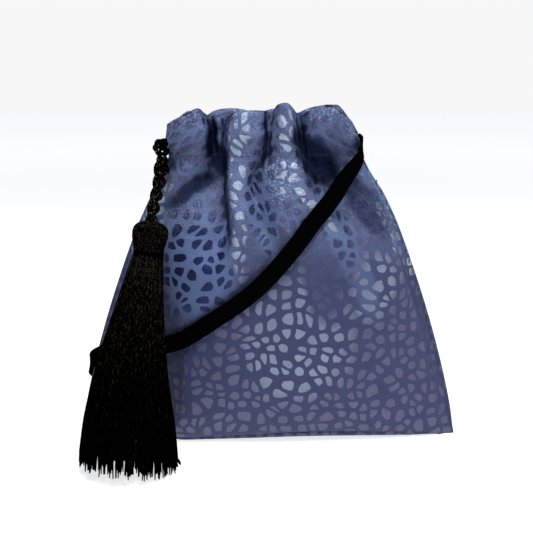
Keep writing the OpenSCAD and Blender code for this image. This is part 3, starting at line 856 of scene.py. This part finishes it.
rng = np.random.default_rng(11)
OUTER_YARNS, INNER_YARNS, LOOSE_YARNS = ((200, 240, 30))
paths = []
for k in range(OUTER_YARNS + INNER_YARNS + LOOSE_YARNS):
    angle = rng.uniform(0, 2 * np.pi)
    share = math.sqrt(rng.uniform(0.1, 0.9))
    if k < OUTER_YARNS:
        angle = 2 * np.pi * (k + rng.uniform(-0.3, 0.3)) / OUTER_YARNS
        share = rng.uniform(0.93, 1.02)
    length = rng.uniform(*STRAND_ENDS) * MM
    s = np.linspace(SKIRT_TOP, length, STRAND_RINGS)
    radius = np.interp(s, SKIRT[:, 0], SKIRT[:, 1]) * share
    fall = (s - s[0]) / (length - s[0])
    if k >= OUTER_YARNS + INNER_YARNS:
        radius = radius * (1 + rng.uniform(0.04, 0.13) * smoothstep(fall, 0.25, 1))
        length *= 0.98
    sway = rng.uniform(-1, 1, 4)
    radius = radius + 0.5 * MM * sway[0] * np.sin(3 * np.pi * fall + 2 * sway[1]) * fall
    theta = angle + fall * (0.05 * sway[2] + 0.04 * np.sin(7 * fall + 5 * sway[3]))
    path = from_axis(s, radius, theta)
    path += np.outer(SKIRT_SPREAD * np.sin(np.pi * fall) * radius * np.cos(theta), ASIDE)
    path[:, 0] -= SKIRT_BOW * np.sin(np.pi * fall)
    # what reaches the floor turns and lies on it, pointing outwards
    under = np.minimum(path[:, 2] - FLOOR_CLEAR - YARN_RADIUS, 0)
    outward = unit(path[-1, :2] - from_axis(s[-1], 0.0, 0.0)[:2])
    path[:, :2] -= np.outer(under, outward) * 0.55
    path[:, 2] -= under
    paths.append(path)
skirt = yarns("tassel_strands", paths, YARN_RADIUS)

# a dark core keeps the gaps between the strands from showing through
core_s = np.linspace(14, 112, 14) * MM
core_r = np.interp(core_s, SKIRT[:, 0], SKIRT[:, 1]) * np.linspace(0.9, 0.72, 14)
core_path = from_axis(core_s, 0 * core_s, 0.0)
core_path[:, 0] -= SKIRT_BOW * np.sin(np.linspace(0, np.pi, 14))
points, faces = tube(core_path, core_r, 40, lambda angle, i: 1 + 0.03 * np.cos(20 * angle))
points[:, 2] = np.maximum(points[:, 2], FLOOR_CLEAR)
core = make_mesh("tassel_core", points, faces)


def dome_radius(s):
    """The head's radius at a distance down the tassel: a flat-topped barrel that narrows below."""
    s = np.asarray(s) / MM
    crown = 8.1 * np.clip(1 - np.abs(1 - np.clip(s, 0, 5.5) / 5.5)**2.6, 0, 1) ** (1 / 2.6)
    return np.where(s < 5.5, crown, 8.1 - 1.5 * smoothstep(s, 6.5, 14.5)) * MM


HEAD_YARNS = 52
share = np.linspace(0, 1, 22)
s = (0.2 + 15.4 * share ** 1.6) * MM
head_paths = [from_axis(s, np.maximum(dome_radius(s), 1.6 * MM),
                        2 * np.pi * k / HEAD_YARNS + 0.25 * share) for k in range(HEAD_YARNS)]
head = yarns("tassel_head_yarns", head_paths, HEAD_YARN_RADIUS)
s = np.linspace(0.1, 15, 16) * MM
points, faces = tube(from_axis(s, 0 * s, 0.0), np.maximum(dome_radius(s) - 0.2 * MM, 1.5 * MM), 40,
                     lambda angle, i: 1 + 0.01 * np.cos(23 * angle))
head_core = make_mesh("tassel_head_core", points, faces)

WRAPS, WRAP_RADIUS = 6, 6.9 * MM
turns = np.linspace(0, 2 * np.pi * WRAPS, WRAPS * 28)
wrap_s = HEAD_LENGTH + (BINDING_END - HEAD_LENGTH) * (0.08 + 0.84 * turns / turns[-1])
binding = yarns("tassel_neck_wraps", [from_axis(wrap_s, WRAP_RADIUS, turns)], YARN_RADIUS, 8)

knot_turn = np.linspace(0, 2 * np.pi, 90)
knot_path = from_axis(7 * MM + 1.6 * MM * np.sin(3 * knot_turn),
                      (3.0 + 0.9 * np.cos(3 * knot_turn)) * MM, 2 * knot_turn)
knot = yarns("cord_end_knot", [knot_path], KNOT_YARN_RADIUS, 8)

# ---------------------------------------------------------------- materials

class Nodes:
    """A material's nodes, added one at a time."""

    def __init__(self, name):
        self.material = bpy.data.materials.new(name)
        self.material.use_nodes = True
        self.tree = self.material.node_tree
        self.shader = self.tree.nodes["Principled BSDF"]

    def add(self, kind, inputs=(), **settings):
        node = self.tree.nodes.new("ShaderNode" + kind)
        for key, value in settings.items():
            setattr(node, key, value)
        for key, value in dict(inputs).items():
            self.put(node.inputs[key], value)
        return node

    def put(self, socket, value):
        if isinstance(value, bpy.types.NodeSocket):
            self.tree.links.new(value, socket)
        else:
            socket.default_value = value

    def set(self, **values):
        for key, value in values.items():
            self.put(self.shader.inputs[key.replace("_", " ")], value)

    def maths(self, operation, a, b=0.0, c=0.0):
        node = self.add("Math", operation=operation)
        for socket, value in zip(node.inputs, (a, b, c)):
            self.put(socket, value)
        return node.outputs[0]

    def times(self, a, b):
        return self.maths("MULTIPLY", a, b)

    def plus(self, a, b):
        return self.maths("ADD", a, b)

    def minus(self, a, b):
        return self.maths("SUBTRACT", a, b)

    def most(self, *values):
        return functools.reduce(lambda a, b: self.maths("MAXIMUM", a, b), values)

    def ramp(self, value, low, high, to_low=0.0, to_high=1.0):
        node = self.add("MapRange", interpolation_type="SMOOTHSTEP")
        for key, v in (("Value", value), ("From Min", low), ("From Max", high),
                       ("To Min", to_low), ("To Max", to_high)):
            self.put(node.inputs[key], v)
        return node.outputs["Result"]

    def blend(self, factor, a, b):
        node = self.add("Mix", data_type="RGBA")
        for index, value in ((0, factor), (6, a), (7, b)):
            self.put(node.inputs[index], value)
        return node.outputs[2]

    def noise(self, vector, scale, detail=2.0, roughness=0.5):
        return self.add("TexNoise", {"Vector": vector, "Scale": scale, "Detail": detail,
                                     "Roughness": roughness})

    def grey(self, vector, scale, detail=2.0, roughness=0.5):
        """A noise's plain value, between 0 and 1."""
        return self.noise(vector, scale, detail, roughness).outputs["Fac"]

    def cloth(self):
        """The piece's own coordinates, along and across its cloth, ribbon or yarn."""
        return self.add("UVMap", uv_map="cloth").outputs[0]

    def place(self):
        return self.add("TexCoord").outputs["Object"]

    def shifted(self, vector, noise, amount):
        """A vector moved by a noise's colour."""
        centred = self.add("VectorMath", operation="SUBTRACT")
        self.put(centred.inputs[0], noise.outputs["Color"])
        centred.inputs[1].default_value = (0.5, 0.5, 0.5)
        scaled = self.add("VectorMath", operation="SCALE")
        self.put(scaled.inputs[0], centred.outputs[0])
        scaled.inputs["Scale"].default_value = amount
        total = self.add("VectorMath", operation="ADD")
        self.put(total.inputs[0], vector)
        self.put(total.inputs[1], scaled.outputs[0])
        return total.outputs[0]

    def stretched(self, vector, scale):
        node = self.add("VectorMath", operation="MULTIPLY")
        self.put(node.inputs[0], vector)
        node.inputs[1].default_value = scale
        return node.outputs[0]

    def bump(self, height, strength, distance, normal=None):
        node = self.add("Bump", {"Height": height, "Strength": strength, "Distance": distance})
        if normal is not None:
            self.put(node.inputs["Normal"], normal)
        return node.outputs["Normal"]


def weave(n, uv, per_unit):
    """The height of a fine plain weave, with threads both ways."""
    split = n.add("SeparateXYZ", {"Vector": uv})
    across = n.maths("SINE", n.times(split.outputs[0], per_unit))
    along = n.maths("SINE", n.times(split.outputs[1], per_unit))
    return n.times(across, along)


def oval(n, place, x, z, wide, tall, lean=0.0, strength=1.0):
    """Full strength inside an upright oval of the pouch, and nothing outside it; in millimetres.
    Its axis may lean: lean is how far its x moves for each step up."""
    split = n.add("SeparateXYZ", {"Vector": place})
    up = n.maths("MULTIPLY_ADD", split.outputs[2], 1000.0, -z)
    across = n.maths("MULTIPLY_ADD", split.outputs[0], 1000.0, -x)
    across = n.minus(across, n.times(up, lean))
    u, v = n.times(across, 1 / wide), n.times(up, 1 / tall)
    return n.ramp(n.plus(n.times(u, u), n.times(v, v)), 1.5, 0.35, 0.0, strength)


# Painted light and shade on the satin, as ovals: x, z, half width, half height, lean, strength.
# The cloth's own folds and the lights make only a part of the light and shade of gathered satin;
# these painted highlights, reflections and shadows make the rest.
# painted highlights along the fold ridges and down both side edges
PAINTED_RIDGE_HIGHLIGHTS = [(-14, 136, 4, 44), (9, 152, 4, 22), (24, 124, 4, 14, -0.8), (-57, 118, 6, 24, 0.35),
          (61, 112, 3.5, 30, -0.42)]
# painted reflections: spots made light grey-blue where they would mirror the pale floor
PAINTED_SILVER_REFLECTIONS = [(14, 58, 27, 33), (53, 84, 12, 17)]
# painted: spots faded where the light leaves them no lighter or darker than the ground
PAINTED_SPOT_FADES = [(27, 88, 9, 24, -0.1)]
# painted highlights on the ground
GLEAMS = [(32, 168, 15, 4), (41, 161, 4, 5), (-44, 165, 10, 4, 2), (-12, 169, 9, 3),
          (15, 143, 2, 8, -1.0), (58, 118, 2.5, 22, -0.42), (6, 136, 6, 12)]
# painted light and shade: ground lighter blue and spots dark blue, as where facets face the
# overhead lamp
PAINTED_LIT_GROUND_ZONES = [(-34, 92, 19, 27), (41, 96, 7, 28, -0.45, 0.6), (-3, 118, 6, 24, -0.3, 0.6)]
# painted shadows under the lobes and in the creases
SHADES = [(-24.6, 150, 4.6, 15, -0.2), (-36, 132, 8, 10, 1.3, 0.8), (25.5, 143.5, 11, 12, -0.3),
          (18.5, 149, 3.2, 14, -0.4), (-1, 154, 1.8, 14), (48, 124, 9, 17, -0.5, 0.7),
          (-20.6, 126, 1.6, 24, -0.08, 0.8)]


def pebbles(n, uv):
    """How far a place lies inside a pebble of the figure, and the pebble's own random tone."""
    drift = n.shifted(uv, n.noise(uv, 0.42, 1.0), 1.1)
    cells = {"Vector": n.shifted(drift, n.noise(drift, 1.5, 1.0), 0.26), "Scale": 1.5,
             "Randomness": 0.74}
    edge = n.add("TexVoronoi", cells, voronoi_dimensions="2D", feature="DISTANCE_TO_EDGE")
    heart = n.add("TexVoronoi", cells, voronoi_dimensions="2D", feature="F1")
    # far corners of each cell are cut off by the distance from its heart, which rounds the pebble
    fill = n.minus(edge.outputs["Distance"], n.times(heart.outputs["Distance"], 0.85))
    fill = n.plus(fill, n.times(n.grey(uv, 7.0), 0.06))
    rounded = n.ramp(fill, -0.098, -0.070)
    clear = n.ramp(edge.outputs["Distance"], 0.125, 0.145)
    return n.times(rounded, clear), heart.outputs["Color"]


def jacquard():
    """Slate-blue satin with pebble spots woven in a smoother, mirror-like float.
    Highlights, reflections and shade are also painted into its colour, in the ovals above. One unit
    of the cloth's own coordinates is 10 mm."""
    n = Nodes("satin_jacquard")
    uv, place = n.cloth(), n.place()
    # a noise wobbles the edges of the painted light and shade
    place = n.shifted(place, n.noise(place, 75.0), 0.010)
    spot, tone = pebbles(n, uv)
    grain, cloud = n.grey(uv, 42.0, 2.0, 0.7), n.grey(uv, 0.9, 3.0)
    crackle = n.grey(uv, 7.0, 3.0, 0.65)
    veins = n.ramp(crackle, 0.50, 0.66)
    # masks of the painted highlights, reflections, spot fades, gleams, light and shadows
    ridge, painted_reflection, plain, gleam, deep, shade = (
        n.most(*[oval(n, place, *row) for row in zone])
        for zone in (PAINTED_RIDGE_HIGHLIGHTS, PAINTED_SILVER_REFLECTIONS, PAINTED_SPOT_FADES, GLEAMS, PAINTED_LIT_GROUND_ZONES, SHADES))
    painted_reflection = n.most(ridge, painted_reflection)
    # the upper part of the pouch, which is painted lighter, as though lit from above
    upper = n.ramp(n.add("SeparateXYZ", {"Vector": place}).outputs[2], 0.085, 0.125)
    ground = n.blend(cloud, (0.028, 0.034, 0.098, 1), (0.044, 0.052, 0.126, 1))
    # painted top light: the ground lighter in the upper part
    ground = n.blend(n.times(upper, n.ramp(cloud, 0.3, 0.7, 0.4, 1.0)), ground,
                     (0.092, 0.130, 0.255, 1))
    # painted light: the ground lighter blue in the lit-ground zones
    ground = n.blend(n.times(deep, 0.7), ground, (0.100, 0.155, 0.310, 1))
    # painted highlights along the crinkles, in the gleams and across the upper part
    ground = n.blend(n.times(gleam, veins), ground, (0.30, 0.40, 0.58, 1))
    ground = n.blend(n.times(n.times(upper, veins), 0.4), ground, (0.20, 0.26, 0.42, 1))
    # painted glints in the grain, stronger in the upper part
    sparkle = n.times(n.ramp(grain, 0.44, 0.70, 0.0, 0.5), n.maths("MULTIPLY_ADD", upper, 0.7, 0.3))
    ground = n.blend(sparkle, ground, (0.17, 0.22, 0.36, 1))
    dull = n.blend(tone, (0.132, 0.124, 0.190, 1), (0.146, 0.150, 0.232, 1))
    # painted shade: the spots darker in the upper part
    dull = n.blend(n.times(upper, 0.9), dull, (0.080, 0.078, 0.150, 1))
    # painted reflection: the spots' light grey-blue where they would mirror the pale floor
    painted_silver = n.blend(tone, (0.240, 0.265, 0.355, 1), (0.330, 0.385, 0.490, 1))
    pebble = n.blend(painted_reflection, dull, painted_silver)
    # painted highlight on the spots along the fold ridges
    pebble = n.blend(ridge, pebble, (0.52, 0.60, 0.72, 1))
    # in the painted reflections the grain shows darker blue between the spots' sheen
    between = n.blend(painted_reflection, ground, (0.07, 0.085, 0.17, 1))
    pebble = n.blend(n.ramp(grain, 0.34, 0.60), between, pebble)
    # painted shade: spots dark blue in the lit-ground zones, less so under the painted reflections
    painted_spot_shade = n.times(deep, n.minus(0.92, n.times(painted_reflection, 0.6)))
    pebble = n.blend(painted_spot_shade, pebble, (0.016, 0.022, 0.085, 1))
    # painted: the spots fade out where the light leaves them no lighter or darker than the ground
    spot = n.times(spot, n.minus(1.0, n.times(plain, 0.9)))
    # painted shadows: the colour goes to a near-black blue, and metallic is raised there so no
    # shine lifts them
    shade = n.times(shade, 0.9)
    n.set(Base_Color=n.blend(shade, n.blend(spot, ground, pebble), (0.006, 0.009, 0.036, 1)))
    n.set(Metallic=n.most(n.ramp(spot, 0.0, 1.0, 0.30, 0.93), shade))
    n.set(Roughness=n.plus(n.ramp(spot, 0.0, 1.0, 0.50, 0.30), n.times(grain, 0.10)))
    n.set(Specular_IOR_Level=0.3)
    threads = weave(n, uv, 2 * math.pi / 0.045)
    fine = n.bump(n.plus(n.times(threads, 0.35), n.times(grain, 1.6)), 0.5, 0.00013)
    broad = n.bump(crackle, n.maths("MULTIPLY_ADD", upper, 0.6, 0.3), 0.0009, fine)
    n.set(Normal=n.bump(spot, 0.6, 0.00012, broad))
    return n.material


def lining_satin():
    n = Nodes("lining_satin")
    uv = n.cloth()
    cloud = n.grey(uv, 1.2)
    n.set(Base_Color=n.blend(cloud, (0.022, 0.030, 0.080, 1), (0.032, 0.042, 0.100, 1)))
    n.set(Roughness=n.ramp(cloud, 0.3, 0.7, 0.34, 0.46))
    n.set(Normal=n.bump(weave(n, uv, 2 * math.pi / 0.03), 0.3, 0.00005))
    return n.material


def sewing_thread():
    n = Nodes("sewing_thread")
    twist = n.grey(n.place(), 4000.0, 1.0)
    n.set(Base_Color=n.blend(twist, (0.014, 0.020, 0.060, 1), (0.026, 0.036, 0.090, 1)))
    n.set(Roughness=0.5, Normal=n.bump(twist, 0.4, 0.00008))
    return n.material


def grosgrain():
    n = Nodes("black_grosgrain")
    lint = n.grey(n.stretched(n.cloth(), (2500.0, 9000.0, 1.0)), 1.0)
    n.set(Base_Color=n.blend(lint, (0.0004, 0.0004, 0.0005, 1), (0.0016, 0.0016, 0.0020, 1)))
    n.set(Roughness=n.ramp(lint, 0.3, 0.7, 0.60, 0.76), Specular_IOR_Level=0.0)
    n.set(Normal=n.bump(lint, 0.4, 0.00010))
    return n.material


def rayon_yarn(name, chained):
    """Black crinkled rayon, with warm glints of its small loops painted into its colour."""
    n = Nodes(name)
    if chained:
        uv = n.cloth()
        split = n.add("SeparateXYZ", {"Vector": uv})
        beat = n.maths("SINE", n.times(split.outputs[0], 2 * math.pi / 0.095))
        around = n.maths("COSINE", n.times(split.outputs[1], 4 * math.pi))
        loops = n.times(beat, around)
        chance = n.grey(n.stretched(uv, (4.5, 2.2, 1.0)), 1.0)
        # the painted glints thin out down each strand
        chance = n.minus(chance, n.times(split.outputs[0], 0.020))
        glint = n.times(n.ramp(loops, 0.55, 0.95), n.ramp(chance, 0.42, 0.58))
    else:
        loops = n.grey(n.place(), 1500.0, 1.0)
        glint = n.ramp(loops, 0.62, 0.72)
    # painted glints: warm specks in the colour, a little smoother where they lie
    n.set(Base_Color=n.blend(glint, (0.0003, 0.0003, 0.0003, 1), (0.130, 0.115, 0.080, 1)))
    n.set(Roughness=n.ramp(glint, 0.0, 1.0, 0.55, 0.40), Specular_IOR_Level=0.0)
    n.set(Normal=n.bump(loops, 0.7, 0.00022))
    return n.material


SATIN, LINING, THREAD = jacquard(), lining_satin(), sewing_thread()
RIBBON, YARN, CORD = grosgrain(), rayon_yarn("black_yarn", True), rayon_yarn("black_cord", False)

# ---------------------------------------------------------------- pieces and bodies


def paint(piece, material):
    piece.data.materials.clear()
    piece.data.materials.append(material)


def dress(piece, material):
    paint(piece, material)


def across_hinge(piece):
    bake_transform(piece)


for piece, material, slot in (
    (front_cloth, SATIN, "satin"), (back_cloth, SATIN, "satin"),
    (front_lining, LINING, "lining"), (back_lining, LINING, "lining"),
    (front_stitches, THREAD, "thread"), (back_stitches, THREAD, "thread"),
    (right_tack, THREAD, "thread"), (left_tack, THREAD, "thread"),
    (front_run, RIBBON, "grosgrain"), (back_run, RIBBON, "grosgrain"),
    (front_exit, RIBBON, "grosgrain"), (back_exit, RIBBON, "grosgrain"),
    (bridge, RIBBON, "grosgrain"), (wrist_loop, RIBBON, "grosgrain"),
    (twisted_cord, CORD, "yarn"), (hanger, CORD, "yarn"), (knot, YARN, "yarn"),
    (skirt, YARN, "yarn"), (core, CORD, "yarn"), (head, YARN, "yarn"),
    (head_core, CORD, "yarn"), (binding, YARN, "yarn"),
):
    dress(piece, material)
for name in ("left_seam_allowance", "right_seam_allowance", "bottom_seam_allowance"):
    paint(frame["nodes"][name], LINING)
for name in ("side_seam_stitches", "bottom_seam_stitches"):
    paint(frame["nodes"][name], THREAD)

for piece in (front_cloth, front_lining, front_stitches):
    across_hinge(piece)
for piece in (back_cloth, back_lining, back_stitches):
    across_hinge(piece)
for piece in (right_tack, left_tack, bridge):
    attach(piece, "pouch")
for piece in (front_run, front_exit):
    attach(piece, "front_lip")
for piece in (back_run, back_exit):
    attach(piece, "back_lip")
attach(knot, "cord")
for piece in (skirt, core, head, head_core, binding):
    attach(piece, "tassel")

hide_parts("front_panel", "front_casing")
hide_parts("back_panel", "back_casing")
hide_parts("front_lining")
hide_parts("back_lining")
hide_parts("front_casing_stitches")
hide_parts("back_casing_stitches")
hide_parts("right_bartack")
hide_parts("left_bartack")
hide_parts("front_ribbon_run")
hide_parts("back_ribbon_run", "ribbon_lap")
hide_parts("ribbon_bridge")
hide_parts("cord_knot")
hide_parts("tassel_head")
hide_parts("neck_binding")
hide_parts("tassel_skirt")

# ---------------------------------------------------------------- studio

floor = make_mesh("floor", [(-3, -3, 0), (3, -3, 0), (3, 3, 0), (-3, 3, 0)], [(0, 1, 2, 3)],
                  smooth=False)
pale = Nodes("pale_floor")
on_floor = pale.place()
mottle = pale.grey(on_floor, 3.0)
away = pale.add("VectorMath", {"Vector": on_floor}, operation="LENGTH").outputs["Value"]
pale.set(Base_Color=pale.blend(mottle, (0.48, 0.48, 0.48, 1), (0.50, 0.50, 0.50, 1)))
pale.set(Roughness=0.8)
# the lamps don't reach the far floor, which is lit up to meet the pale background
pale.set(Emission_Color=(1, 1, 1, 1), Emission_Strength=pale.ramp(away, 0.7, 1.8, 0.74, 0.89))
floor.data.materials.append(pale.material)


def soft_light(name, place, size, power, aim=(0, 0, 0.09), colour=(1, 1, 1)):
    data = bpy.data.lights.new(name, "AREA")
    data.energy, data.size, data.color = power, size, colour
    lamp = bpy.data.objects.new(name, data)
    bpy.context.scene.collection.objects.link(lamp)
    lamp.location = place
    lamp.rotation_euler = (Vector(aim) - lamp.location).to_track_quat("-Z", "Y").to_euler()


soft_light("overhead", (0.1, -0.34, 1.2), 0.6, 19)
soft_light("right_side", (1.0, -0.35, 0.4), 0.4, 2.4)
soft_light("left_side", (-0.9, -0.5, 0.6), 0.4, 1.2)

world = bpy.data.worlds.new("studio")
bpy.context.scene.world = world
world.use_nodes = True
sky = world.node_tree
dim = sky.nodes["Background"]
dim.inputs["Color"].default_value = (0.25, 0.36, 0.80, 1)
dim.inputs["Strength"].default_value = 0.16
white = sky.nodes.new("ShaderNodeBackground")
white.inputs["Color"].default_value = (0.93, 0.93, 0.93, 1)
white.inputs["Strength"].default_value = 1.0
seen = sky.nodes.new("ShaderNodeLightPath")
either = sky.nodes.new("ShaderNodeMixShader")
sky.links.new(seen.outputs["Is Camera Ray"], either.inputs[0])
sky.links.new(dim.outputs[0], either.inputs[1])
sky.links.new(white.outputs[0], either.inputs[2])
sky.links.new(either.outputs[0], sky.nodes["World Output"].inputs["Surface"])
bpy.context.scene.view_settings.view_transform = "Standard"
